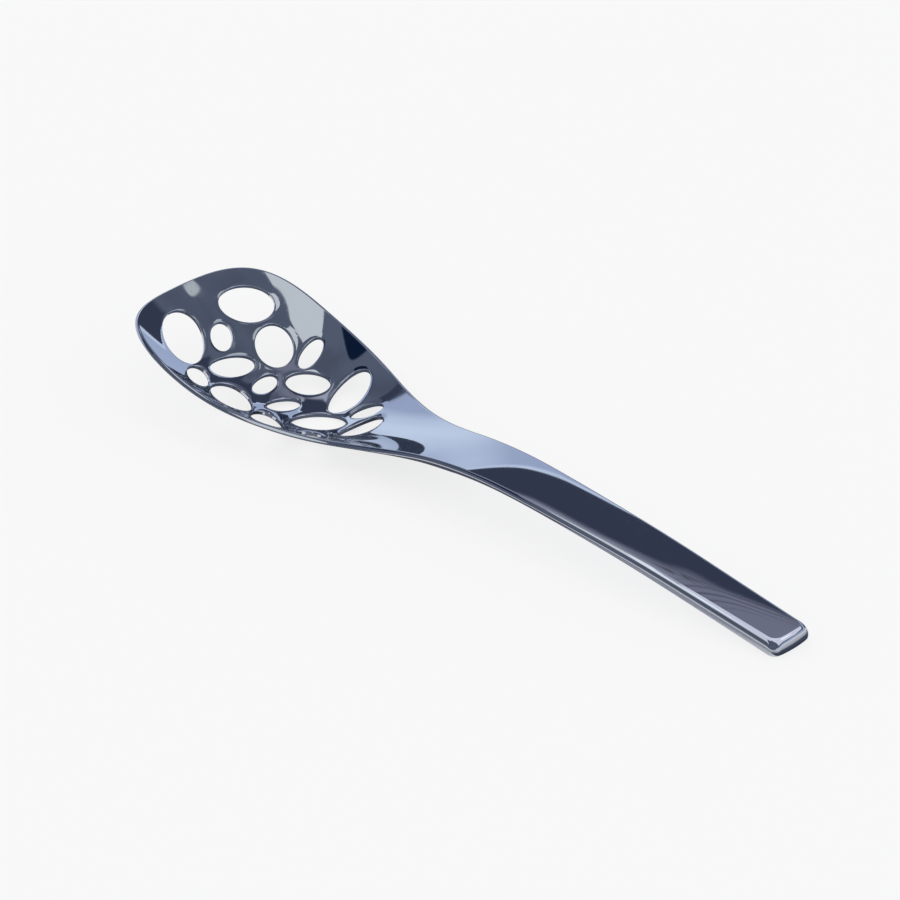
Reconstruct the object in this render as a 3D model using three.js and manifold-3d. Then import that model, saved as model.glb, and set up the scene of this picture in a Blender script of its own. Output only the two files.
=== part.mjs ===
// A one-piece openwork serving spoon: a shallow bowl pierced by ellipses of many sizes, which
// flows into a flat handle that thickens towards its squared end.
// Millimetres, +Z up. +X runs from the bowl's tip to the handle's end, and the spoon lies on
// the plane Z = 0 on the floor of its bowl and the end of its handle.

import * as THREE from 'three';
import { mergeVertices } from 'three/addons/utils/BufferGeometryUtils.js';
import Module from 'manifold-3d';

const wasm = await Module();
wasm.setup();

// Lengths along the spoon
const bowlLength = 118; // tip to neck
const neckLength = 24; // neck to the crest of the arched handle
const handleLength = 108; // crest to the handle's end
const straightLength = 35; // the part of the handle before its end that doesn't bend
const widestAt = 31; // from the tip
const floorAt = 60; // the bowl's lowest point, from the tip
const deepestDishAt = 82; // where the bowl is dished most tightly across, from the tip

// Widths and plan curves
const bowlWidth = 61.6;
const neckWidth = 21.5;
const endWidth = 16.5;
const tipFullness = 21; // how far the tip's edge runs straight across before it turns
const shoulderFullness = 21.3; // the same for the side before it turns to the tip
const flankPull = 37.5; // how far the bowl keeps its width behind the widest point
const neckPull = 31; // how far the neck keeps its width into the bowl
const neckTaper = 0.02; // fall of the half width for each millimetre
const endTaper = 0.0106;
const endCornerRadius = 2.8;
const endCurveRadius = 45;

// Heights and bends, seen from the side
const tipHeight = 22.8;
const tipFall = 22; // degrees, the tip's slope down into the bowl
const floorRadius = 74;
const crestHeight = 15.4;
const crestRadius = 122;
const endFall = 7.6; // degrees, the slope of the handle's straight end

// Dish and crown, seen along the spoon
const tipDishRadius = 75;
const bowlDishRadius = 36.5;
const handleCrownRadius = 62;
const crownRamp = 59; // length over which the flat neck takes on the handle's crown

// Thickness of the metal
const bowlThickness = 1.5;
const crestThickness = 2.4;
const straightThickness = 4.05; // where the straight end starts
const endThickness = 4.9;
const upperRoundShare = 0.5; // radius of the upper edges, as a share of the thickness
const lowerRoundShare = 0.22; // the same for the lower edges
const restDepth = 0.08; // depth of the narrow flat on which the handle's end rests

// The openwork, drawn flat on a field as long and as wide as this, then stretched over the
// bowl. Each hole has its centre from the tip and from the middle line, its length and width,
// and the turn of its length in degrees.
const fieldLength = 118;
const fieldWidth = 61.6;
const holes = [
  { along: 16.5, across: 14.4, length: 17.4, width: 13.8, turn: 48 },
  { along: 17, across: -12.9, length: 24, width: 13.7, turn: -36 },
  { along: 21, across: -0.7, length: 12, width: 7, turn: -44 },
  { along: 31.7, across: 11.2, length: 16.6, width: 11.9, turn: -41 },
  { along: 31, across: -6, length: 16.7, width: 8.2, turn: 83 },
  { along: 31.9, across: -21.1, length: 11.1, width: 7.5, turn: -44 },
  { along: 41, across: 17.6, length: 12.6, width: 5.8, turn: -76 },
  { along: 40.7, across: -1.8, length: 11.5, width: 5.7, turn: -77 },
  { along: 42.7, across: -17.9, length: 16, width: 13.6, turn: -41 },
  { along: 48.3, across: 9, length: 13.8, width: 9.5, turn: 34 },
  { along: 50.7, across: -3.9, length: 11.6, width: 6.3, turn: 74 },
  { along: 57.6, across: -17.8, length: 17, width: 9.8, turn: -39 },
  { along: 61.9, across: 13.2, length: 19.5, width: 10.4, turn: -79 },
  { along: 65.3, across: -3.6, length: 16.6, width: 12, turn: 40 },
  { along: 73.2, across: 9, length: 10.5, width: 6.1, turn: 52 },
  { along: 73.5, across: -14.8, length: 11, width: 8.5, turn: -15 },
  { along: 79, across: 0.7, length: 16, width: 7.7, turn: 81 },
];

// Facets
const outlineSteps = { tip: 16, flank: 30, side: 24, corner: 5, end: 3 };
const ringsAcross = 6; // from the middle line to the edge
const stepsPerRound = 2;
const holeSides = 28;
const punchReach = 3; // how far a punch stands out of the metal on each side

const crestAt = bowlLength + neckLength;
const overallLength = crestAt + handleLength;
const straightAt = overallLength - straightLength;
const slope = (degrees) => Math.tan(THREE.MathUtils.degToRad(degrees));

// Returns a function that passes smoothly through stations [at, value, slope, bend], with no
// jump in its slope or its curvature.
function curveThrough(stations) {
  return (at) => {
    const last = stations.length - 2;
    const next = stations.findIndex((station) => station[0] > at);
    const index = next < 0 ? last : THREE.MathUtils.clamp(next - 1, 0, last);
    const [x0, v0, s0 = 0, b0 = 0] = stations[index];
    const [x1, v1, s1 = 0, b1 = 0] = stations[index + 1];
    const span = x1 - x0;
    const t = (at - x0) / span;
    const blend = t ** 3 * (10 - 15 * t + 6 * t * t);
    const leave = t - t ** 3 * (6 - 8 * t + 3 * t * t);
    const arrive = t ** 3 * (-4 + 7 * t - 3 * t * t);
    const leaveBend = (t * t * (1 - t) ** 3) / 2;
    const arriveBend = (t ** 3 * (1 - t) ** 2) / 2;
    return v0 * (1 - blend) + v1 * blend + span * (s0 * leave + s1 * arrive)
      + span * span * (b0 * leaveBend + b1 * arriveBend);
  };
}

function slopeOf(curve, at) {
  const step = 0.01;
  return (curve(at + step) - curve(at - step)) / (2 * step);
}

// The metal's thickness, square to its surface
const thickening = (endThickness - straightThickness) / straightLength;
const thickness = curveThrough([
  [0, bowlThickness],
  [deepestDishAt, bowlThickness],
  [crestAt, crestThickness],
  [straightAt, straightThickness, thickening],
  [overallLength, endThickness, thickening],
]);

// Height of the upper face along the middle line. The underside of the handle's end touches
// the table at its rounded edge, and so does the floor of the bowl.
const endSlope = slope(endFall);
const endStretch = Math.hypot(1, endSlope);
const underFall = endSlope * endStretch + thickening; // the underside falls faster than the top
const endRound = lowerRoundShare * endThickness;
const roundLift = endRound * (1 + underFall - Math.hypot(1, underFall));
const endHeight = (endThickness - roundLift) / endStretch - restDepth;
const midline = curveThrough([
  [0, tipHeight, -slope(tipFall)],
  [floorAt, bowlThickness, 0, 1 / floorRadius],
  [crestAt, crestHeight, 0, -1 / crestRadius],
  [straightAt, endHeight + endSlope * straightLength, -endSlope],
  [overallLength, endHeight, -endSlope],
]);

// Rise of the faces with the square of the distance from the middle line: a dish in the bowl
// and none from the crest on, where the upper face alone is crowned.
const dish = curveThrough([
  [0, 1 / (2 * tipDishRadius)],
  [deepestDishAt, 1 / (2 * bowlDishRadius)],
  [crestAt, 0],
  [overallLength, 0],
]);
const crownStart = bowlLength - neckLength / 2;
const crown = curveThrough([
  [0, 0],
  [crownStart, 0],
  [crownStart + crownRamp, 1 / (2 * handleCrownRadius)],
  [overallLength, 1 / (2 * handleCrownRadius)],
]);

// The direction out of the dished upper face
function faceNormal(x, y) {
  const slopeAlong = slopeOf(midline, x) + slopeOf(dish, x) * y * y;
  return new THREE.Vector3(-slopeAlong, -2 * dish(x) * y, 1).normalize();
}

// The point of the metal at a depth under the upper face
function metalPoint(x, y, depth) {
  const point = new THREE.Vector3(x, y, midline(x) + dish(x) * y * y);
  point.addScaledVector(faceNormal(x, y), -depth);
  point.z -= crown(x) * y * y * (1 - depth / thickness(x));
  return point;
}

// The point of the underside, where the handle's straight end is cut flat along the table
function undersidePoint(x, y, height) {
  const point = metalPoint(x, y, thickness(x) - height);
  if (x > straightAt) point.z = Math.max(point.z, 0);
  return point;
}

// Half of the outline, from the middle of the tip round to the middle of the handle's end
function halfOutline() {
  const side = bowlWidth / 2;
  const neck = neckWidth / 2;
  const end = endWidth / 2;
  const cornerY = end - endCornerRadius;
  const reach = endCurveRadius - endCornerRadius;
  const cornerX = overallLength - endCurveRadius + Math.sqrt(reach ** 2 - cornerY ** 2);
  const turn = Math.asin(cornerY / reach);
  const grip = (cornerX - bowlLength) / 3;
  const curves = [
    [outlineSteps.tip, new THREE.CubicBezierCurve(
      new THREE.Vector2(0, 0), new THREE.Vector2(0, tipFullness),
      new THREE.Vector2(widestAt - shoulderFullness, side), new THREE.Vector2(widestAt, side))],
    [outlineSteps.flank, new THREE.CubicBezierCurve(
      new THREE.Vector2(widestAt, side), new THREE.Vector2(widestAt + flankPull, side),
      new THREE.Vector2(bowlLength - neckPull, neck + neckTaper * neckPull),
      new THREE.Vector2(bowlLength, neck))],
    [outlineSteps.side, new THREE.CubicBezierCurve(
      new THREE.Vector2(bowlLength, neck), new THREE.Vector2(bowlLength + grip, neck - neckTaper * grip),
      new THREE.Vector2(cornerX - grip, end + endTaper * grip), new THREE.Vector2(cornerX, end))],
    [outlineSteps.corner, new THREE.EllipseCurve(
      cornerX, cornerY, endCornerRadius, endCornerRadius, Math.PI / 2, turn, true)],
    [outlineSteps.end, new THREE.EllipseCurve(
      overallLength - endCurveRadius, 0, endCurveRadius, endCurveRadius, turn, 0, true)],
  ];
  return curves.flatMap(([steps, curve], index) => curve.getPoints(steps).slice(index ? 1 : 0));
}

// The closed outline, mirrored about the middle line, with the inward direction at each point
function closedOutline() {
  const half = halfOutline();
  const mirrored = half.slice(1, -1).reverse().map((point) => new THREE.Vector2(point.x, -point.y));
  const points = [...half, ...mirrored];
  return points.map((point, index) => {
    const before = points[(index + points.length - 1) % points.length];
    const after = points[(index + 1) % points.length];
    const inward = new THREE.Vector2(after.y - before.y, before.x - after.x).normalize();
    return { point, inward };
  });
}

// One section of the metal, from the middle line over the upper face, round the edge and back
// under the lower face. At the tip and the end the sections fan out from one point.
function metalSection({ point, inward }) {
  const upperRound = upperRoundShare * thickness(point.x);
  const lowerRound = lowerRoundShare * thickness(point.x);
  const fanLength = endWidth / 2;
  const x = THREE.MathUtils.clamp(point.x, bowlWidth / 4, overallLength - fanLength);
  const middle = new THREE.Vector2(x, 0);
  const inset = (distance) => point.clone().addScaledVector(inward, distance);
  const upper = [];
  const lower = [];
  for (let ring = 0; ring < ringsAcross; ring += 1) {
    const over = middle.clone().lerp(inset(upperRound), ring / ringsAcross);
    const under = middle.clone().lerp(inset(lowerRound), ring / ringsAcross);
    upper.push(metalPoint(over.x, over.y, 0));
    lower.push(undersidePoint(under.x, under.y, 0));
  }
  for (let step = 0; step <= stepsPerRound; step += 1) {
    const angle = (Math.PI / 2) * (step / stepsPerRound);
    const over = inset(upperRound * (1 - Math.sin(angle)));
    const under = inset(lowerRound * (1 - Math.sin(angle)));
    upper.push(metalPoint(over.x, over.y, upperRound * (1 - Math.cos(angle))));
    lower.push(undersidePoint(under.x, under.y, lowerRound * (1 - Math.cos(angle))));
  }
  return [...upper, ...lower.reverse()];
}

// Closes a loop of sections into a solid. Sections meet at their first and last points.
function solidFromSections(sections) {
  const positions = [];
  sections.forEach((section, index) => {
    const neighbour = sections[(index + 1) % sections.length];
    for (let place = 0; place < section.length - 1; place += 1) {
      const corners = [section[place], neighbour[place], neighbour[place + 1], section[place + 1]];
      [0, 1, 2, 0, 2, 3].forEach((corner) => positions.push(...corners[corner].toArray()));
    }
  });
  const geometry = new THREE.BufferGeometry();
  geometry.setAttribute('position', new THREE.Float32BufferAttribute(positions, 3));
  return toManifold(geometry);
}

// Merges shared corners, drops triangles that have shrunk to a line and makes a solid
function toManifold(geometry) {
  geometry.deleteAttribute('normal');
  geometry.deleteAttribute('uv');
  const merged = mergeVertices(geometry);
  const corners = merged.index.array;
  const kept = [];
  for (let index = 0; index < corners.length; index += 3) {
    const [a, b, c] = corners.slice(index, index + 3);
    if (a !== b && b !== c && c !== a) kept.push(a, b, c);
  }
  return new wasm.Manifold(new wasm.Mesh({
    numProp: 3,
    vertProperties: merged.attributes.position.array,
    triVerts: new Uint32Array(kept),
  }));
}

// An elliptical punch that goes square through the metal at a hole's centre
function punch(hole) {
  const stretchX = bowlLength / fieldLength;
  const stretchY = bowlWidth / fieldWidth;
  const turn = THREE.MathUtils.degToRad(hole.turn);
  const ellipse = new THREE.EllipseCurve(0, 0, hole.length / 2, hole.width / 2, 0, 2 * Math.PI, false, turn);
  const outline = ellipse.getPoints(holeSides).slice(0, -1);
  outline.forEach((point) => point.set(point.x * stretchX, point.y * stretchY));
  const x = hole.along * stretchX;
  const y = hole.across * stretchY;
  const depth = thickness(x) + 2 * punchReach;
  const geometry = new THREE.ExtrudeGeometry(new THREE.Shape(outline), { depth, bevelEnabled: false });
  geometry.translate(0, 0, punchReach - depth);
  const normal = faceNormal(x, y);
  const along = new THREE.Vector3(1, 0, 0).addScaledVector(normal, -normal.x).normalize();
  const across = new THREE.Vector3().crossVectors(normal, along);
  const placed = new THREE.Matrix4().makeBasis(along, across, normal).setPosition(metalPoint(x, y, 0));
  return toManifold(geometry.applyMatrix4(placed));
}

function toGeometry(solid) {
  const mesh = solid.getMesh();
  const geometry = new THREE.BufferGeometry();
  geometry.setAttribute('position', new THREE.BufferAttribute(mesh.vertProperties, 3));
  geometry.setIndex(new THREE.BufferAttribute(mesh.triVerts, 1));
  return geometry;
}

// Puts the middle of the spoon's length over the origin and its lowest point on Z = 0
function standOnTable(geometry) {
  geometry.computeBoundingBox();
  const { min, max } = geometry.boundingBox;
  return geometry.translate(-(min.x + max.x) / 2, 0, -min.z);
}

function makeSpoon() {
  const blank = solidFromSections(closedOutline().map(metalSection));
  const pierced = holes.reduce((metal, hole) => metal.subtract(punch(hole)), blank);
  const steel = new THREE.MeshStandardMaterial({ color: 0x8e96a6, roughness: 0.08, metalness: 1 });
  const spoon = new THREE.Mesh(standOnTable(toGeometry(pierced)), steel);
  spoon.name = 'spoon';
  return spoon;
}

const group = new THREE.Group();
group.add(makeSpoon());

export default group;
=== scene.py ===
"""An openwork serving spoon of mirror-polished steel, forged in one piece.

The spoon's two faces are one formula from the bowl's tip to the handle's end. Its outline and
the ellipses pierced through the bowl are loops of points on that formula. Millimetres are used
for the spoon's own sizes, and metres for what goes into Blender.
"""

import math

import bpy
import numpy as np
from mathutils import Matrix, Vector, geometry
from numpy.polynomial import polynomial


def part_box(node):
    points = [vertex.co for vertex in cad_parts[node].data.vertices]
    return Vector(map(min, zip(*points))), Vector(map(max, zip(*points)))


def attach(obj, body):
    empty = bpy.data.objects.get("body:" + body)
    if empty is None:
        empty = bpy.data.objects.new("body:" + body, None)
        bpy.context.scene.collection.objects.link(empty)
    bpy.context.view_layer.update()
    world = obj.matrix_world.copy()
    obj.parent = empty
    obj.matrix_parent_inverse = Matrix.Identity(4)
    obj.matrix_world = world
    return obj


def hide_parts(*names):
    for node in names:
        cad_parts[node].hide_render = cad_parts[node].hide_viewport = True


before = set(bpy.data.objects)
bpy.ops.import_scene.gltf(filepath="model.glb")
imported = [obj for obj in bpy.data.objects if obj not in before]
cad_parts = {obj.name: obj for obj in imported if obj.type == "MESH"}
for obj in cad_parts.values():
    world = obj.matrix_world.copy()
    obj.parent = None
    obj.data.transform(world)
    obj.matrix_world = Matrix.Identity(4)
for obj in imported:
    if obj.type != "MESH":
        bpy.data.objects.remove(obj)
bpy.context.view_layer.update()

MM = 0.001

# Lengths along the spoon, from the tip
BOWL_LENGTH = 118.0
NECK_LENGTH = 24.0
HANDLE_LENGTH = 108.0
STRAIGHT_LENGTH = 35.0
WIDEST_AT = 31.0
FLOOR_AT = 60.0
DEEPEST_DISH_AT = 82.0
CREST_AT = BOWL_LENGTH + NECK_LENGTH
OVERALL_LENGTH = CREST_AT + HANDLE_LENGTH
STRAIGHT_AT = OVERALL_LENGTH - STRAIGHT_LENGTH

# Widths and plan curves
BOWL_WIDTH = 61.6
NECK_WIDTH = 21.5
END_WIDTH = 16.5
TIP_FULLNESS = 21.0
SHOULDER_FULLNESS = 21.3
FLANK_PULL = 37.5
NECK_PULL = 31.0
NECK_TAPER = 0.02
END_TAPER = 0.0106
END_CORNER_RADIUS = 2.8
SOFT_CORNER_RADIUS = 5.4
END_CURVE_RADIUS = 45.0

# Heights and bends, seen from the side
TIP_HEIGHT = 22.8
TIP_FALL = 22.0
FLOOR_RADIUS = 74.0
CREST_HEIGHT = 15.4
CREST_RADIUS = 122.0
END_FALL = 7.6

# Dish and crown, seen along the spoon
TIP_DISH_RADIUS = 75.0
BOWL_DISH_RADIUS = 36.5
HANDLE_CROWN_RADIUS = 62.0
CROWN_RAMP = 59.0
CROWN_START = BOWL_LENGTH - NECK_LENGTH / 2

# Thickness of the metal
BOWL_THICKNESS = 1.5
CREST_THICKNESS = 2.4
STRAIGHT_THICKNESS = 4.05
END_THICKNESS = 4.9

# Rounds of the outer edge, as shares of the thickness
UPPER_ROUND_WIDTH = 0.5
UPPER_ROUND_DEPTH = 0.78
LOWER_ROUND = 0.2

# How the handle's end rests: the share of its thickness that the solid's lower edge is rounded
# by, and the depth of the flat worn on it
REST_ROUND = 0.22
REST_DEPTH = 0.08

# Rounds and soft rolls of the holes' edges
HOLE_ROUND = 0.3
ROLL_WIDTH = 2.0
ROLL_DEPTH = 0.2
DEEPEST_ROLL = 0.44

# Each hole: place from the tip and from the middle line, length, width, turn in degrees
HOLES = (
    (16.5, 14.4, 17.4, 13.8, 48),
    (17, -12.9, 24, 13.7, -36),
    (21, -0.7, 12, 7, -44),
    (31.7, 11.2, 16.6, 11.9, -41),
    (31, -6, 16.7, 8.2, 83),
    (31.9, -21.1, 11.1, 7.5, -44),
    (41, 17.6, 12.6, 5.8, -76),
    (40.7, -1.8, 11.5, 5.7, -77),
    (42.7, -17.9, 16, 13.6, -41),
    (48.3, 9, 13.8, 9.5, 34),
    (50.7, -3.9, 11.6, 6.3, 74),
    (57.6, -17.8, 17, 9.8, -39),
    (61.9, 13.2, 19.5, 10.4, -79),
    (65.3, -3.6, 16.6, 12, 40),
    (73.2, 9, 10.5, 6.1, 52),
    (73.5, -14.8, 11, 8.5, -15),
    (79, 0.7, 16, 7.7, 81),
)

# Fineness of the visible surface
EDGE_STEP = 0.45
FACE_STEP = 0.75
CLEARANCE = 0.3
UPPER_ROWS = 14
LOWER_ROWS = 6
HOLE_ROUND_ROWS = 4
CURVE_SAMPLES = 400

# Viewpoint of the photo
CAMERA_AZIMUTH = 43.5
CAMERA_ELEVATION = 30.3
CAMERA_DISTANCE = 1473.4
CAMERA_TARGET = (-8.04, 0, 11.21)
LENS_LENGTH = 200
SENSOR_WIDTH = 36

# Colours of the studio
SLATE = (0.126, 0.148, 0.206, 1)
NAVY = (0.053, 0.064, 0.104, 1)
MAUVE = (0.255, 0.260, 0.340, 1)
LAVENDER = (0.50, 0.52, 0.62, 1)
DIM_GREY = (0.22, 0.225, 0.27, 1)
DEEP_BLUE = (0.50, 0.58, 0.80, 1)
PALE_BLUE = (0.84, 0.96, 1.14, 1)
SKY_GREY = (0.64, 0.69, 0.68, 1)
BLACK_BLUE = (0.006, 0.016, 0.045, 1)
TABLE_COLOUR = (0.9, 0.9, 0.9, 1)
TABLE_SHEEN = (0.975, 0.975, 0.975, 1)
TABLE_GLOW = 0.8
COOL_LIGHT = (0.98, 1.0, 0.94)
WARM_LIGHT = (1.0, 0.965, 0.915)
LILAC_LIGHT = (0.94, 0.92, 1.0)

# Places of the studio, in metres
LOW_HEIGHT = 0.12
CARD_HEIGHT = 0.0003
LAMP_DISTANCE = 2.2
LAMP_SIZE = 2.2


def curve_through(*stations):
    """Pieces of fifth order in u, from 0 to 1 between two stations (at, value, slope, bend),
    which share value, slope and bend where they meet. Returns the curve as a function of x and
    of the order of the derivative."""
    at, value, slope, bend = np.array([s + (0.0,) * (4 - len(s)) for s in stations]).T
    span = np.diff(at)
    start = np.array([value[:-1], slope[:-1] * span, bend[:-1] * span**2 / 2])
    miss = np.array([
        value[1:] - start.sum(0),
        slope[1:] * span - start[1] - 2 * start[2],
        bend[1:] * span**2 - 2 * start[2],
    ])
    rows = np.concatenate([start, np.array([[10, -4, 0.5], [-15, 7, -1], [6, -3, 0.5]]) @ miss])

    def curve(x, order=0):
        piece = np.clip(np.searchsorted(at, x, "right") - 1, 0, len(span) - 1)
        u = (x - at[piece]) / span[piece]
        factors = polynomial.polyder(rows, order) if order else rows
        return polynomial.polyval(u, factors[:, piece], tensor=False) / span[piece] ** order

    return curve


def slope(degrees):
    """The tangent of an angle in degrees."""
    return math.tan(math.radians(degrees))


THICKENING = (END_THICKNESS - STRAIGHT_THICKNESS) / STRAIGHT_LENGTH
thickness = curve_through(
    (0, BOWL_THICKNESS),
    (DEEPEST_DISH_AT, BOWL_THICKNESS),
    (CREST_AT, CREST_THICKNESS),
    (STRAIGHT_AT, STRAIGHT_THICKNESS, THICKENING),
    (OVERALL_LENGTH, END_THICKNESS, THICKENING),
)

END_SLOPE = slope(END_FALL)
END_STRETCH = math.hypot(1, END_SLOPE)
UNDER_FALL = END_SLOPE * END_STRETCH + THICKENING
ROUND_LIFT = REST_ROUND * END_THICKNESS * (1 + UNDER_FALL - math.hypot(1, UNDER_FALL))
END_HEIGHT = (END_THICKNESS - ROUND_LIFT) / END_STRETCH - REST_DEPTH
midline = curve_through(
    (0, TIP_HEIGHT, -slope(TIP_FALL)),
    (FLOOR_AT, BOWL_THICKNESS, 0, 1 / FLOOR_RADIUS),
    (CREST_AT, CREST_HEIGHT, 0, -1 / CREST_RADIUS),
    (STRAIGHT_AT, END_HEIGHT + END_SLOPE * STRAIGHT_LENGTH, -END_SLOPE),
    (OVERALL_LENGTH, END_HEIGHT, -END_SLOPE),
)
dish = curve_through(
    (0, 1 / (2 * TIP_DISH_RADIUS)),
    (DEEPEST_DISH_AT, 1 / (2 * BOWL_DISH_RADIUS)),
    (CREST_AT, 0),
    (OVERALL_LENGTH, 0),
)
crown = curve_through(
    (0, 0),
    (CROWN_START, 0),
    (CROWN_START + CROWN_RAMP, 1 / (2 * HANDLE_CROWN_RADIUS)),
    (OVERALL_LENGTH, 1 / (2 * HANDLE_CROWN_RADIUS)),
)


def unit(vectors):
    """Each vector over its own length."""
    return vectors / np.linalg.norm(vectors, axis=-1, keepdims=True)


def bearing(azimuth, elevation):
    """The direction towards an azimuth and an elevation in degrees."""
    azimuth, elevation = math.radians(azimuth), math.radians(elevation)
    return np.array([math.cos(azimuth) * math.cos(elevation),
                     math.sin(azimuth) * math.cos(elevation), math.sin(elevation)])


def face_normal(place):
    """Square to the surface whose height is midline(x) + dish(x) y squared."""
    x, y = place[..., 0], place[..., 1]
    along = midline(x, 1) + dish(x, 1) * y * y
    return unit(np.stack([-along, -2 * dish(x) * y, np.ones_like(x)], -1))


def metal_point(place, depth):
    """The height midline(x) + dish(x) y squared, then back along that surface's normal by the
    depth, then down by crown(x) y squared, which fades from the upper face to the lower."""
    x, y = place[..., 0], place[..., 1]
    surface = np.stack([x, y, midline(x) + dish(x) * y * y], -1)
    point = surface - face_normal(place) * np.expand_dims(depth, -1)
    point[..., 2] -= crown(x) * y * y * (1 - depth / thickness(x))
    return point


def hole_frame(along, across):
    """Centre of a hole on the upper face before the roll, and the three directions of its punch:
    through the metal, along the spoon and across it."""
    centre = np.array([[along, across]], float)
    axis = face_normal(centre)[0]
    first = unit(np.array([1.0, 0, 0]) - axis * axis[0])
    return metal_point(centre, np.zeros(1))[0], axis, first, np.cross(axis, first)


HOLE_FRAMES = [hole_frame(*hole[:2]) for hole in HOLES]


def roll(point):
    """Depth of the soft roll round each hole: a cube of the share of the roll's width that is
    left, where the distance to an ellipse is its radius less 1, over the radius's slope."""
    least_radius, least_slope, most_left = 0.3, 1e-6, 1.3
    depth = np.zeros(point.shape[:-1])
    for (_, _, length, width, turn), (centre, _, first, second) in zip(HOLES, HOLE_FRAMES):
        away = point - centre
        tilt = math.radians(turn)
        long_way = math.cos(tilt) * first + math.sin(tilt) * second
        wide_way = math.cos(tilt) * second - math.sin(tilt) * first
        u, v = away @ long_way / (length / 2), away @ wide_way / (width / 2)
        radius = np.maximum(np.hypot(u, v), least_radius)
        steepness = np.hypot(u / (length / 2), v / (width / 2)) / radius
        distance = (radius - 1) / np.maximum(steepness, least_slope)
        left = np.clip(1 - distance / ROLL_WIDTH, 0, most_left)
        depth += ROLL_DEPTH * left**3
    return np.minimum(depth, DEEPEST_ROLL)


def upper_face(place):
    """The metal at no depth, with the rolls round the holes."""
    point = metal_point(place, np.zeros(place.shape[:-1]))
    in_bowl = place[..., 0] < BOWL_LENGTH
    point[..., 2] -= np.where(in_bowl, roll(point), 0)
    return point


def under_point(place, height):
    """The metal at a height over its lower face. The straight end is worn flat on the table."""
    point = metal_point(place, thickness(place[..., 0]) - height)
    worn = np.maximum(point[..., 2], 0)
    point[..., 2] = np.where(place[..., 0] > STRAIGHT_AT, worn, point[..., 2])
    return point


def lower_face(place):
    """The metal at its full depth."""
    return under_point(place, np.zeros(place.shape[:-1]))


def bezier(*corners):
    """Cubic curve from the first corner to the last, pulled by the two between."""
    t = np.linspace(0, 1, CURVE_SAMPLES)[:, None]
    a, b, c, d = np.array(corners)
    return (1 - t) ** 3 * a + 3 * t * (1 - t) ** 2 * b + 3 * t * t * (1 - t) * c + t**3 * d


def arc(centre, radius, start, end):
    """Points at one radius from a centre, from a start angle to an end angle."""
    angle = np.linspace(start, end, CURVE_SAMPLES)
    return np.array(centre) + radius * np.stack([np.cos(angle), np.sin(angle)], -1)


def even_loops(step, *loops):
    """Points at even distances along the first of some finely drawn closed loops, and the
    points of the other loops that go with them."""
    closed = [np.concatenate([loop, loop[:1]]) for loop in loops]
    walked = np.concatenate([[0], np.cumsum(np.linalg.norm(np.diff(closed[0], axis=0), axis=1))])
    count = int(round(walked[-1] / step))
    at = np.arange(count) * walked[-1] / count
    return [np.stack([np.interp(at, walked, loop[:, k]) for k in (0, 1)], -1) for loop in closed]


def outline(corner_radius):
    """Tip, flank and side as cubic curves, a corner arc and half of the end's arc, then the
    same mirrored in the middle line. Clockwise, seen from above."""
    side, neck, end = BOWL_WIDTH / 2, NECK_WIDTH / 2, END_WIDTH / 2
    corner_y = end - corner_radius
    reach = END_CURVE_RADIUS - corner_radius
    end_centre = OVERALL_LENGTH - END_CURVE_RADIUS
    corner_x = end_centre + math.sqrt(reach**2 - corner_y**2)
    turn = math.asin(corner_y / reach)
    grip = (corner_x - BOWL_LENGTH) / 3
    parts = (
        bezier((0, 0), (0, TIP_FULLNESS),
               (WIDEST_AT - SHOULDER_FULLNESS, side), (WIDEST_AT, side)),
        bezier((WIDEST_AT, side), (WIDEST_AT + FLANK_PULL, side),
               (BOWL_LENGTH - NECK_PULL, neck + NECK_TAPER * NECK_PULL), (BOWL_LENGTH, neck)),
        bezier((BOWL_LENGTH, neck), (BOWL_LENGTH + grip, neck - NECK_TAPER * grip),
               (corner_x - grip, end + END_TAPER * grip), (corner_x, end)),
        arc((corner_x, corner_y), corner_radius, math.pi / 2, turn),
        arc((end_centre, 0), END_CURVE_RADIUS, turn, 0),
    )
    half = np.concatenate([parts[0]] + [part[1:] for part in parts[1:]])
    return np.concatenate([half, half[-2:0:-1] * (1, -1)])


def right_of_loop(points):
    """The direction to the right of a closed loop, at each of its points."""
    direction = unit(np.roll(points, -1, 0) - np.roll(points, 1, 0))
    return np.stack([direction[:, 1], -direction[:, 0]], -1)


def drop_onto(face, point, axis, rounds=8):
    """Places (x, y) where lines through the points, along the axis, meet a face of the metal."""
    place = point[..., :2].copy()
    for _ in range(rounds):
        miss = face(place) - point
        miss -= (miss @ axis)[..., None] * axis
        place -= miss[..., :2]
    return place


def rows_over_edge(row_at, angles):
    """Rows of points over an edge and their normals. row_at(angle) gives one closed row, and a
    normal is square to the row and to the way to the next row."""
    tiny = 1e-4
    rows, normals = [], []
    for angle in angles:
        row = row_at(angle)
        ahead = row_at(angle + tiny) - row_at(angle - tiny)
        rows.append(row)
        normals.append(unit(np.cross(np.roll(row, -1, 0) - np.roll(row, 1, 0), ahead)))
    return np.array(rows), np.array(normals)


def down_the_edge(upper, lower):
    """Rows down over the upper round and on to the lower face, from the rows of both rounds,
    which start at their faces."""
    (top, top_normals), (bottom, bottom_normals) = upper, lower
    return (np.concatenate([top, bottom[::-1]]),
            np.concatenate([top_normals, -bottom_normals[::-1]]))


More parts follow.
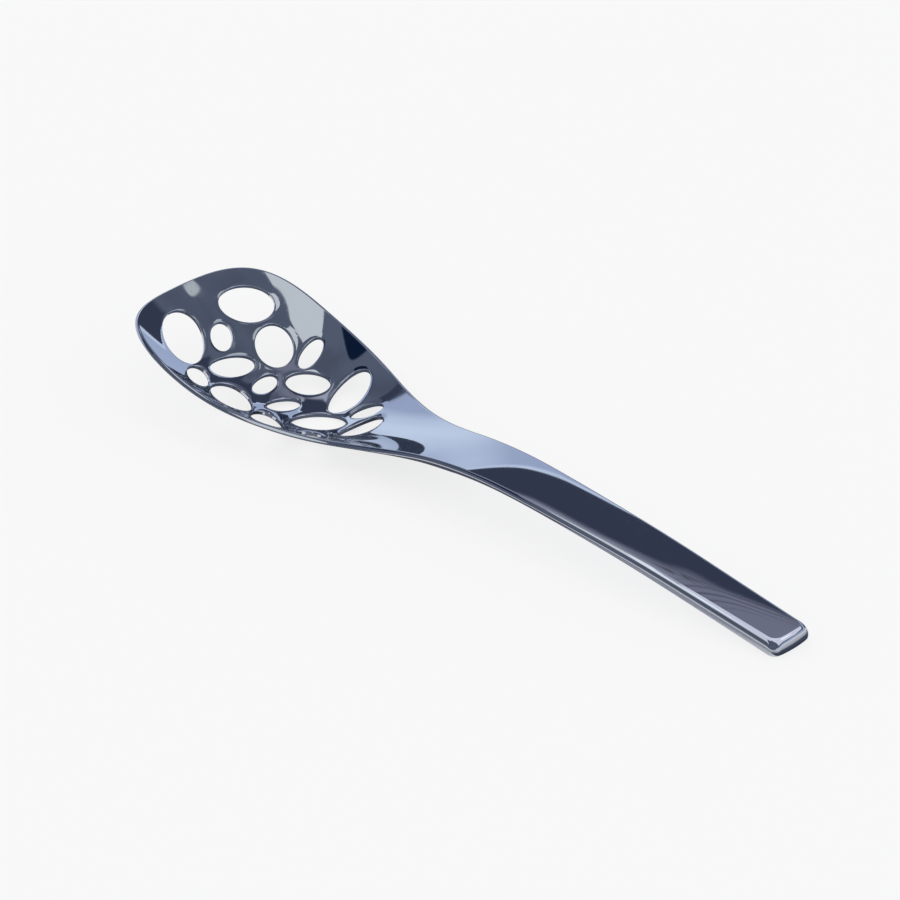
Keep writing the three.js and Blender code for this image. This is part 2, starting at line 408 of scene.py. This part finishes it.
def rim_rows():
    """The outer edge: a deep quarter ellipse from the upper face and a small quarter circle to
    the lower face, as shares of the thickness. The upper one widens at the end's corners."""
    drawn, soft = outline(END_CORNER_RADIUS), outline(SOFT_CORNER_RADIUS)
    drawn_under = drawn + right_of_loop(drawn) * LOWER_ROUND * thickness(drawn[:, :1])
    drawn_over = soft + right_of_loop(soft) * UPPER_ROUND_WIDTH * thickness(soft[:, :1])
    loop, over_rim, under_rim = even_loops(EDGE_STEP, drawn, drawn_over, drawn_under)
    metal = thickness(loop[:, 0])

    def upper(angle):
        place = loop + (over_rim - loop) * (1 - math.sin(angle))
        point = metal_point(place, UPPER_ROUND_DEPTH * metal * (1 - math.cos(angle)))
        point[:, 2] += upper_face(place)[:, 2] - metal_point(place, np.zeros(len(place)))[:, 2]
        return point

    def lower(angle):
        place = loop + (under_rim - loop) * (1 - math.sin(angle))
        return under_point(place, LOWER_ROUND * metal * (1 - math.cos(angle)))

    rows, normals = down_the_edge(
        rows_over_edge(upper, np.linspace(0, math.pi / 2, UPPER_ROWS + 1)),
        rows_over_edge(lower, np.linspace(0, math.pi / 2, LOWER_ROWS + 1)),
    )
    return over_rim, under_rim, rows, normals


def hole_rows(hole, frame_of_hole):
    """The rounds and wall of one hole: an ellipse carried square through the metal at its own
    centre, with a quarter circle to each face."""
    _, _, length, width, turn = hole
    centre, axis, first, second = frame_of_hole
    angle = np.linspace(0, 2 * math.pi, CURVE_SAMPLES, endpoint=False)
    tilt = math.radians(turn)
    turned = np.array([[math.cos(tilt), math.sin(tilt)], [-math.sin(tilt), math.cos(tilt)]])
    ellipse = np.stack([length / 2 * np.cos(angle), width / 2 * np.sin(angle)], -1) @ turned
    ellipse = even_loops(EDGE_STEP, ellipse)[0]
    outward = right_of_loop(ellipse)

    def place_on(face, grow):
        ring = ellipse + outward * grow
        point = centre + ring[:, :1] * first + ring[:, 1:] * second
        return drop_onto(face, point, axis)

    def upper(step):
        place = place_on(upper_face, HOLE_ROUND * (1 - math.sin(step)))
        return upper_face(place) - axis * HOLE_ROUND * (1 - math.cos(step))

    def lower(step):
        place = place_on(lower_face, HOLE_ROUND * (1 - math.sin(step)))
        return lower_face(place) + axis * HOLE_ROUND * (1 - math.cos(step))

    quarter = np.linspace(0, math.pi / 2, HOLE_ROUND_ROWS + 1)
    rows, normals = down_the_edge(rows_over_edge(upper, quarter), rows_over_edge(lower, quarter))
    return place_on(upper_face, HOLE_ROUND), place_on(lower_face, HOLE_ROUND), rows, normals


def inner_places(rim, hole_loops):
    """A lattice of equal triangles over the plan, without what is outside the rim, in a hole or
    too near an edge."""
    rows = np.arange(-BOWL_WIDTH / 2, BOWL_WIDTH / 2, FACE_STEP * math.sqrt(0.75))
    columns = np.arange(0, OVERALL_LENGTH, FACE_STEP)
    x, y = np.meshgrid(columns, rows)
    x = x + FACE_STEP / 2 * (np.arange(len(rows)) % 2)[:, None]
    places = np.stack([x.ravel(), y.ravel()], -1)
    upper_half = rim[rim[:, 1] >= 0]
    upper_half = upper_half[np.argsort(upper_half[:, 0])]
    half_width = np.interp(places[:, 0], upper_half[:, 0], upper_half[:, 1], left=0, right=0)
    places = places[np.abs(places[:, 1]) < half_width]
    for loop, is_hole in [(rim, False)] + [(loop, True) for loop in hole_loops]:
        apart = np.abs((places[:, :1] + 1j * places[:, 1:]) - (loop[:, 0] + 1j * loop[:, 1]))
        keep = apart.min(1) > CLEARANCE
        if is_hole:
            middle = loop.mean(0)
            nearest = loop[apart.argmin(1)]
            reach = np.linalg.norm(nearest - middle, axis=1)
            keep &= np.linalg.norm(places - middle, axis=1) > reach
        places = places[keep]
    return places


def face_triangles(loops, inner):
    """Triangles between the loops and the inner places. A triangle with all its corners on one
    hole's loop lies in that hole and is dropped."""
    inside_edges, nearness = 1, 1e-7
    points = np.concatenate(loops + [inner])
    owner = np.concatenate([np.full(len(loop), k) for k, loop in enumerate(loops)]
                           + [np.full(len(inner), -1)])
    starts = np.cumsum([0] + [len(loop) for loop in loops])
    rounds = [start + np.arange(len(loop)) for start, loop in zip(starts, loops)]
    edges = np.concatenate([np.stack([corner, np.roll(corner, -1)], -1) for corner in rounds])
    found = geometry.delaunay_2d_cdt(
        points.tolist(), edges.tolist(), [], inside_edges, nearness)
    triangles = np.array(found[2])
    owners = owner[triangles]
    in_hole = (owners[:, 0] > 0) & (owners[:, 0] == owners[:, 1]) & (owners[:, 1] == owners[:, 2])
    return points, triangles[~in_hole]


def face_normals(face, places):
    """Square to a face of the metal, from its points a little to each side."""
    tiny = 1e-3
    along = face(places + (tiny, 0)) - face(places - (tiny, 0))
    across = face(places + (0, tiny)) - face(places - (0, tiny))
    return unit(np.cross(along, across))


def spoon_mesh():
    """Both faces as triangles between the loops, and each edge as rows of four-sided faces."""
    edges = [rim_rows()] + [hole_rows(*pair) for pair in zip(HOLES, HOLE_FRAMES)]
    points, normals, faces = [], [], []
    loop_starts = {}
    offset = 0
    for key, face, sign in (("upper", upper_face, 1), ("lower", lower_face, -1)):
        loops = [edge[0 if key == "upper" else 1] for edge in edges]
        places, triangles = face_triangles(loops, inner_places(loops[0], loops[1:]))
        points.append(face(places))
        normals.append(sign * face_normals(face, places))
        faces.append((triangles if sign > 0 else triangles[:, ::-1]) + offset)
        loop_starts[key] = offset + np.cumsum([0] + [len(loop) for loop in loops])[:-1]
        offset += len(places)
    quads = []
    for index, (_, _, rows, row_normals) in enumerate(edges):
        count = rows.shape[1]
        inner = rows[1:-1].reshape(-1, 3)
        points.append(inner)
        normals.append(row_normals[1:-1].reshape(-1, 3))
        grid = offset + np.arange(len(inner)).reshape(-1, count)
        grid = np.concatenate([
            [loop_starts["upper"][index] + np.arange(count)], grid,
            [loop_starts["lower"][index] + np.arange(count)],
        ])
        ahead = np.roll(grid, -1, 1)
        quads.append(np.stack([grid[:-1], ahead[:-1], ahead[1:], grid[1:]], -1).reshape(-1, 4))
        offset += len(inner)
    return [np.concatenate(part) for part in (points, normals, faces, quads)]


def place_in_frame(points):
    """Millimetres from the tip to metres in the frame: the middle of the length over the
    origin, and the lowest point on the table."""
    low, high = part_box("spoon")
    shift = np.array([
        (low.x + high.x) / 2 - MM * (points[:, 0].min() + points[:, 0].max()) / 2,
        0,
        low.z - MM * points[:, 2].min(),
    ])
    return points * MM + shift


def make_spoon():
    """The spoon as one smooth mesh, with the normals of its formula at its points."""
    points, normals, triangles, quads = spoon_mesh()
    mesh = bpy.data.meshes.new("polished_spoon")
    mesh.from_pydata(place_in_frame(points), [], triangles.tolist() + quads.tolist())
    mesh.validate()
    mesh.shade_smooth()
    mesh.normals_split_custom_set_from_vertices(normals.tolist())
    spoon = bpy.data.objects.new("polished_spoon", mesh)
    bpy.context.scene.collection.objects.link(spoon)
    return spoon


class Wiring:
    """Adds nodes to a tree, one call for each. A value is a number, a colour or a socket."""

    def __init__(self, tree):
        self.tree = tree

    def add(self, kind, values=None, output=0, **settings):
        node = self.tree.nodes.new("ShaderNode" + kind)
        for name, setting in settings.items():
            setattr(node, name, setting)
        for key, value in (values or {}).items():
            self.put(value, node.inputs[key])
        return node.outputs[output]

    def put(self, value, socket):
        if isinstance(value, bpy.types.NodeSocket):
            self.tree.links.new(value, socket)
        else:
            socket.default_value = value

    def math(self, operation, *values):
        return self.add("Math", dict(enumerate(values)), operation=operation)

    def product(self, *values):
        result = values[0]
        for value in values[1:]:
            result = self.math("MULTIPLY", result, value)
        return result

    def ramp(self, value, low, high, start=0.0, end=1.0):
        """From start to end along a soft step, as the value goes from low to high."""
        return self.add("MapRange", {"Value": value, "From Min": low, "From Max": high,
                                     "To Min": start, "To Max": end},
                        interpolation_type="SMOOTHSTEP")

    def layer(self, share, under, over):
        """The colour over, by its share, on the colour under."""
        return self.add("Mix", {"Factor": share, 6: under, 7: over}, output=2, data_type="RGBA")

    def dot(self, vector, direction):
        return self.add("VectorMath", {0: vector, 1: tuple(direction)}, output="Value",
                        operation="DOT_PRODUCT")

    def wave(self, distance, often, noise, swing):
        """A sine of a distance, bent by a noise."""
        turns = self.math("ADD", self.math("MULTIPLY", distance, often),
                          self.math("MULTIPLY", noise, swing))
        return self.math("SINE", turns)


def polished_steel():
    """Mirror-polished stainless steel. Its haze and tint vary softly, hairlines from washing run
    mostly along the spoon, and the polish leaves a faint wave in the surface."""
    dark_tint, light_tint = (0.545, 0.580, 0.640, 1), (0.580, 0.605, 0.662, 1)
    roughness, smudge_haze, hairline_haze = 0.035, 0.035, 0.06
    wave_height, grain_height, hairline_depth = 0.035, 0.003, 0.0004
    material = bpy.data.materials.new("polished_steel")
    material.use_nodes = True
    w = Wiring(material.node_tree)
    shader = w.tree.nodes["Principled BSDF"]
    place = w.add("TexCoord", output="Object")

    def noise(scale, detail, stretch=(1, 1, 1), turn=0.0, distortion=0.0):
        spot = w.add("Mapping", {"Vector": place, "Rotation": (0, 0, math.radians(turn)),
                                 "Scale": stretch})
        return w.add("TexNoise", {"Vector": spot, "Scale": scale, "Detail": detail,
                                  "Distortion": distortion})

    tint = w.layer(noise(45, 2), dark_tint, light_tint)
    along = w.ramp(noise(60, 2, (0.5, 28, 28), turn=4), 0.66, 0.72)
    askew = w.ramp(noise(60, 2, (0.6, 24, 24), turn=-23), 0.69, 0.74)
    hairlines = w.math("MAXIMUM", along, w.math("MULTIPLY", askew, 0.6))
    smudges = w.product(w.ramp(noise(70, 4, distortion=0.8), 0.5, 0.72),
                        w.ramp(noise(16, 1), 0.4, 0.6))
    haze = w.math("ADD", w.math("MULTIPLY", smudges, smudge_haze),
                  w.math("MULTIPLY", hairlines, hairline_haze))
    wave = w.math("ADD", w.math("MULTIPLY", noise(26, 1), wave_height),
                  w.math("MULTIPLY", noise(110, 1, (0.35, 1, 1)), grain_height))
    height = w.math("SUBTRACT", wave, w.math("MULTIPLY", hairlines, hairline_depth))
    relief = w.add("Bump", {"Height": height, "Strength": 1.0, "Distance": MM}, output="Normal")
    shader.inputs["Metallic"].default_value = 1.0
    w.put(tint, shader.inputs["Base Color"])
    w.put(w.math("ADD", haze, roughness), shader.inputs["Roughness"])
    w.put(relief, shader.inputs["Normal"])
    return material


def studio_piece(name, points, faces, finish=None):
    """A mesh that stands round the spoon, and the wiring of its material, which has the mesh's
    name where no finish is given."""
    mesh = bpy.data.meshes.new(name)
    mesh.from_pydata(points, [], faces)
    piece = bpy.data.objects.new(name, mesh)
    bpy.context.scene.collection.objects.link(piece)
    material = bpy.data.materials.new(finish or name)
    material.use_nodes = True
    mesh.materials.append(material)
    return piece, Wiring(material.node_tree)


def make_table():
    """A pale round table top whose edge sweeps up, as far round as any camera sees. Rings of
    points go out to the flat radius and then up an arc. Cameras and mirrors see it near white."""
    rings, spokes, flat_share = 40, 96, 0.4
    flat_radius, wall_radius, wall_angle = 2.2, 1.0, 50.0
    out = np.linspace(0, 1, rings)
    bend = np.radians(wall_angle) * np.clip((out - flat_share) / (1 - flat_share), 0, 1)
    radius = flat_radius * np.clip(out / flat_share, 0, 1) + wall_radius * np.sin(bend)
    height = wall_radius * (1 - np.cos(bend))
    angle = np.linspace(0, 2 * math.pi, spokes, endpoint=False)
    grid = np.stack([
        np.outer(radius[1:], np.cos(angle)), np.outer(radius[1:], np.sin(angle)),
        np.repeat(height[1:, None], spokes, 1),
    ], -1).reshape(-1, 3)
    index = 1 + np.arange(len(grid)).reshape(-1, spokes)
    ahead = np.roll(index, -1, 1)
    quads = np.stack([index[:-1], index[1:], ahead[1:], ahead[:-1]], -1).reshape(-1, 4)
    middle = np.stack([np.zeros(spokes, int), index[0], ahead[0]], -1)
    points = np.concatenate([[[0, 0, 0]], grid])
    faces = middle.tolist() + quads.tolist()
    table, w = studio_piece("table_top", points, faces, finish="pale_table")
    table.data.shade_smooth()
    shader = w.tree.nodes["Principled BSDF"]
    shader.inputs["Base Color"].default_value = TABLE_COLOUR
    shader.inputs["Roughness"].default_value = 0.9
    shader.inputs["Specular IOR Level"].default_value = 0.0
    camera, glossy, clear = [w.add("LightPath", output=f"Is {kind} Ray")
                             for kind in ("Camera", "Glossy", "Transmission")]
    seen = w.math("MAXIMUM", w.math("MAXIMUM", camera, glossy), clear)
    glow = w.add("Emission", {"Color": TABLE_SHEEN, "Strength": 1.0})
    share = w.math("MULTIPLY", seen, TABLE_GLOW)
    mixed = w.add("MixShader", {0: share, 1: shader.outputs[0], 2: glow})
    w.put(mixed, w.tree.nodes["Material Output"].inputs["Surface"])


def rectangle(left, right, front, back, height):
    """Corners of a level rectangle."""
    return [(left, front, height), (right, front, height), (right, back, height),
            (left, back, height)]


def lying(left, right, front, back):
    """Corners of a card on the table."""
    return rectangle(left, right, front, back, CARD_HEIGHT)


def standing(left, right, back, top):
    """Corners of a card that stands on the table, across the view."""
    return [(left, back, 0), (right, back, 0), (right, back, top), (left, back, top)]


def show_to_mirror_only(piece):
    """Hides a piece from the camera and the table, and takes its shadow away."""
    piece.visible_camera = piece.visible_diffuse = piece.visible_shadow = False


def dark_card(name, corners, colour, way=(0, 1, 0), clear_at=-1.0, dense_at=-0.9, least=0.0):
    """A card that only the mirror shows. It is dense past dense_at along a way, thins out from
    there to clear_at, and keeps its least density beyond."""
    card, w = studio_piece(name, corners, [(0, 1, 2, 3)])
    shader = w.tree.nodes["Principled BSDF"]
    shader.inputs["Base Color"].default_value = colour
    shader.inputs["Roughness"].default_value = 0.7
    place = w.dot(w.add("TexCoord", output="Object"), way)
    w.put(w.ramp(place, clear_at, dense_at, least, 1.0), shader.inputs["Alpha"])
    show_to_mirror_only(card)


def painted_mauve_reflection():
    """A glowing mauve sheet over the far side of the handle's end, no lamp, which only the mirror
    shows, so it is a painted reflection there. It thins out towards the bowl, and painted dark
    ripples cross it there."""
    clear_at, dense_at = 0.027, 0.040
    ripples_from, ripples_to = 0.040, 0.055
    ripple_colour, ripple_share = (0.09, 0.085, 0.115, 1), 0.8
    corners = rectangle(0.020, 0.08, 0.05, 0.24, LOW_HEIGHT)
    glow_sheet, w = studio_piece("painted_mauve_reflection", corners, [(0, 1, 2, 3)])
    place = w.add("TexCoord", output="Object")
    along = w.dot(place, (1, 0, 0))
    waves = w.add("TexNoise", {"Vector": place, "Scale": 14.0, "Detail": 2.0})
    band = w.product(w.ramp(w.wave(along, 1300.0, waves, 11.0), 0.35, 0.95),
                     w.ramp(along, ripples_to, ripples_from), ripple_share)
    glow = w.add("Emission", {"Color": w.layer(band, MAUVE, ripple_colour), "Strength": 1.0})
    clear = w.add("BsdfTransparent")
    mixed = w.add("MixShader", {0: w.ramp(along, clear_at, dense_at), 1: clear, 2: glow})
    w.put(mixed, w.tree.nodes["Material Output"].inputs["Surface"])
    show_to_mirror_only(glow_sheet)


def area_lamp(name, place, size, power, colour):
    """A rectangular lamp over the spoon, which shines straight down until it is turned."""
    light = bpy.data.lights.new(name, "AREA")
    light.shape = "RECTANGLE"
    light.size, light.size_y = size
    light.energy = power
    light.color = colour
    lamp = bpy.data.objects.new(name, light)
    lamp.location = place
    bpy.context.scene.collection.objects.link(lamp)
    return lamp


def strip_lamp(name, along, across, height, radiance, colour, turn=0.0):
    """A lamp that only the mirror shows, as a patch of one radiance, from and to a place along
    the spoon and across it."""
    wide, deep = along[1] - along[0], across[1] - across[0]
    place = (sum(along) / 2, sum(across) / 2, height)
    lamp = area_lamp(name, place, (wide, deep), radiance * math.pi * wide * deep, colour)
    lamp.rotation_euler.z = math.radians(turn)
    lamp.visible_camera = lamp.visible_diffuse = False


def soft_lamp(name, azimuth, elevation, power):
    """A wide lamp that faces the spoon and that its mirror doesn't show."""
    place = LAMP_DISTANCE * Vector(bearing(azimuth, elevation))
    lamp = area_lamp(name, place, (LAMP_SIZE, LAMP_SIZE), power, WARM_LIGHT)
    lamp.rotation_euler = place.to_track_quat("Z", "Y").to_euler()
    lamp.visible_glossy = False


def shade(colour, share):
    """A colour made darker or lighter, each of its parts times the share."""
    return tuple(share * part for part in colour)


class Room(Wiring):
    """The wiring of a room that is drawn by direction: by the height over the horizon and the
    azimuth round the spoon, both in degrees."""

    middle = 150

    def __init__(self, tree):
        super().__init__(tree)
        self.way = self.add("TexCoord", output="Generated")
        self.height = self.degrees(self.math("ARCSINE", self.dot(self.way, (0, 0, 1))))
        aside = self.dot(self.way, bearing(self.middle + 90, 0))
        ahead = self.dot(self.way, bearing(self.middle, 0))
        self.from_middle = self.degrees(self.math("ARCTAN2", aside, ahead))
        self.azimuth = self.math("ADD", self.from_middle, self.middle)
        self.clouds = self.add("TexNoise", {"Vector": self.way, "Scale": 3.0, "Detail": 2.0})

    def degrees(self, value):
        return self.math("MULTIPLY", value, 180 / math.pi)

    def cloudy(self, low=0.0, high=1.0):
        return self.ramp(self.clouds, 0.35, 0.65, low, high)

    def border(self, *points):
        """A height that changes with the azimuth, on a smooth curve through the points."""
        curve = self.tree.nodes.new("ShaderNodeFloatCurve")
        line = curve.mapping.curves[0]
        line.points[0].location = (0, points[0][1] / 90)
        line.points[1].location = (1, points[-1][1] / 90)
        for azimuth, height in points:
            line.points.new((azimuth - self.middle + 180) / 360, height / 90)
        for point in line.points:
            point.handle_type = "AUTO_CLAMPED"
        curve.mapping.update()
        share = self.add("MapRange", {"Value": self.from_middle, "From Min": -180, "From Max": 180})
        self.put(share, curve.inputs["Value"])
        return self.math("MULTIPLY", curve.outputs[0], 90)

    def panel(self, azimuth, elevation, wide, high, soft, turn=0.0, power=4.0):
        """1 inside a rounded rectangle on a plane square to its bearing, and 0 outside. Its half
        sides are angles, its edge is soft over a share of them, and the sum of the shares of the
        half sides, each to a power, is 1 on its outline."""
        facing = bearing(azimuth, elevation)
        right = bearing(azimuth + 90, 0)
        up = np.cross(facing, right)
        tilt = math.radians(turn)
        first = (math.cos(tilt) * right + math.sin(tilt) * up) / math.tan(math.radians(wide))
        second = (math.cos(tilt) * up - math.sin(tilt) * right) / math.tan(math.radians(high))
        ahead = self.math("MAXIMUM", self.dot(self.way, facing), 0.001)

        def share(side):
            part = self.math("DIVIDE", self.dot(self.way, side), ahead)
            return self.math("POWER", self.math("ABSOLUTE", part), power)

        radius = self.math("POWER", self.math("ADD", share(first), share(second)), 1 / power)
        return self.ramp(radius, 1 - soft, 1 + soft, 1.0, 0.0)


def rippled_mauve(room, over_navy):
    """Mauve with dark ripples low over the navy border."""
    place = room.add("CombineXYZ", {0: room.math("MULTIPLY", room.azimuth, 0.16), 1: room.height})
    streaks = room.add("TexNoise", {"Vector": place, "Scale": 0.8, "Detail": 3.0,
                                    "Distortion": 0.6})
    ripple = room.wave(over_navy, 2.0, streaks, 8.0)
    band = room.product(room.ramp(ripple, 0.55, 0.95), room.ramp(over_navy, 9, 6))
    return room.layer(band, MAUVE, shade(MAUVE, 0.45))


def pale_wall(room, over_wall):
    """Deep blue, which pales behind the bowl and along its upper border, and is grey at the
    camera's side."""
    behind_bowl = room.product(room.ramp(room.azimuth, 131, 145), room.ramp(room.azimuth, 163, 147))
    along_border = room.product(room.ramp(over_wall, -2.4, -0.7, 0.0, 0.9),
                                room.ramp(room.azimuth, 142, 130))
    bright = room.math("ADD", room.math("ADD", behind_bowl, along_border), room.cloudy(-0.1, 0.1))
    pale = room.layer(bright, DEEP_BLUE, PALE_BLUE)
    return room.layer(room.ramp(room.azimuth, 205, 225), pale, DIM_GREY)


def studio_room():
    """A dim slate-blue room round the table: mauve and navy over a pale wall behind the spoon,
    and grey and near-black panels."""
    world = bpy.data.worlds.new("studio")
    world.use_nodes = True
    room = Room(world.node_tree)
    colour = room.layer(room.cloudy(), shade(SLATE, 0.86), shade(SLATE, 1.12))

    navy_top = room.border((90, 37), (112, 38), (118, 38), (120, 40), (122, 42), (124, 44.5),
                           (126, 46), (130, 46.5), (140, 45), (165, 38))
    over_navy = room.math("SUBTRACT", room.height, navy_top)
    patch = room.panel(126, 58, wide=8, high=19, soft=0.35, power=2.5)
    colour = room.layer(patch, colour, rippled_mauve(room, over_navy))
    patch = room.panel(150, 51, wide=12, high=4.5, soft=0.4, power=2.5)
    colour = room.layer(patch, colour, LAVENDER)
    navy = room.product(room.ramp(over_navy, 2.5, -1.5), room.ramp(room.azimuth, 88, 100),
                        room.ramp(room.azimuth, 165, 140))
    colour = room.layer(navy, colour, NAVY)

    wall_top = room.border((60, 18), (104, 22.5), (118, 23.5), (121, 24.5), (124, 26), (128, 29),
                           (132, 30), (150, 31), (168, 34), (200, 33), (240, 16))
    over_wall = room.math("SUBTRACT", room.height, wall_top)
    seam = room.product(room.ramp(over_wall, 3.5, 3.0), room.ramp(room.azimuth, 150, 158))
    colour = room.layer(seam, colour, NAVY)
    colour = room.layer(room.ramp(over_wall, 0.4, -0.4), colour, pale_wall(room, over_wall))

    for patch, shown in (
        (room.panel(62, 54, wide=9, high=9, soft=0.15, power=3), SKY_GREY),
        (room.panel(100.9, 57.3, wide=0.75, high=3.2, soft=0.15, power=2.5), SKY_GREY),
        (room.panel(211, 51, wide=9.5, high=11.5, soft=0.05, turn=25, power=6), BLACK_BLUE),
    ):
        colour = room.layer(patch, colour, shown)
    background = world.node_tree.nodes["Background"]
    room.put(colour, background.inputs["Color"])
    background.inputs["Strength"].default_value = 1.0
    bpy.context.scene.world = world


def make_camera():
    """The photo's viewpoint: from the bowl's right side, a third of the way up, far off
    through a long lens."""
    azimuth, elevation = math.radians(CAMERA_AZIMUTH), math.radians(CAMERA_ELEVATION)
    back = Vector((math.sin(azimuth) * math.cos(elevation),
                   -math.cos(azimuth) * math.cos(elevation), math.sin(elevation)))
    lens = bpy.data.cameras.new("camera")
    lens.lens = LENS_LENGTH
    lens.sensor_width = SENSOR_WIDTH
    lens.clip_start = 0.05
    lens.clip_end = 30
    camera = bpy.data.objects.new("camera", lens)
    camera.location = Vector(CAMERA_TARGET) * MM + back * CAMERA_DISTANCE * MM
    camera.rotation_euler = back.to_track_quat("Z", "Y").to_euler()
    bpy.context.scene.collection.objects.link(camera)
    bpy.context.scene.camera = camera


spoon = make_spoon()
spoon.data.materials.append(polished_steel())
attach(spoon, "root")
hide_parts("spoon")

make_table()
studio_room()

# What the mirror shows near the spoon: a lamp for the grey patch in the bowl, low lamps for the
# highlight on the handle's near edge and round its end, a glowing mauve sheet over that end as a
# painted reflection, and cards for the dark lines beside the highlight and in the holes. The cards
# under the bowl and beside the end are painted shade on the table, seen only in the mirror
strip_lamp("lamp_bowl_strip", (-0.166, -0.072), (-0.650, 0.062), 0.46, 0.72, COOL_LIGHT, turn=5)
for name, along, across, radiance in (
    ("lamp_crest_strip", (-0.030, 0.022), (-0.080, 0.050), 0.15),
    ("lamp_handle_strip", (0.022, 0.048), (-0.080, 0.048), 0.42),
    ("lamp_grip_strip", (0.048, 0.080), (-0.080, 0.048), 0.85),
    ("lamp_corner_strip", (0.080, 0.108), (-0.045, 0.200), 0.88),
    ("lamp_end_strip", (0.108, 0.300), (-0.018, 0.200), 0.88),
):
    strip_lamp(name, along, across, LOW_HEIGHT, radiance, LILAC_LIGHT)
# Painted reflection: a glowing mauve sheet, no lamp, with painted dark ripples, seen only in the
# steel
painted_mauve_reflection()
dark_card("card_behind_bowl", standing(-0.42, -0.2, 0.092, 0.055), (0.06, 0.085, 0.13, 1))
dark_card("card_before_bowl", lying(-0.2, 0.03, -0.3, -0.013), (0.1, 0.1, 0.13, 1),
          clear_at=-0.013, dense_at=-0.029)
dark_card("card_before_handle", lying(0.03, 0.2, -0.3, -0.0085), (0.44, 0.45, 0.49, 1),
          clear_at=-0.0085, dense_at=-0.020, least=0.35)
# Painted shade: a dark sheet under the bowl, which only the mirror shows, darkens the table seen in
# the holes
dark_card("painted_shade_under_bowl", lying(-0.125, -0.005, -0.024, 0.033), (0.16, 0.19, 0.25, 1))
dark_card("card_beyond_spoon", lying(-1.3, 0.12, 0.034, 0.5), (0.035, 0.055, 0.10, 1))
dark_card("card_upright_beyond", standing(-1.3, 0.12, 0.5, 0.1), (0.035, 0.055, 0.10, 1))
# Painted shade: a dark sheet at the handle's end, densest at its foot and thinning away, which only
# the mirror shows
dark_card("painted_shade_beside_end", lying(0.1245, 0.16, -0.02, 0.05), (0.06, 0.08, 0.12, 1),
          way=(1, 0, 0), clear_at=0.131, dense_at=0.127, least=0.35)

# Soft light for the table, from lamps that the mirror doesn't show
soft_lamp("lamp_over", 0, 90, power=10)
for azimuth in range(0, 360, 72):
    soft_lamp(f"lamp_side_{azimuth}", azimuth, 32, power=13)
make_camera()
bpy.context.scene.view_settings.view_transform = "Standard"
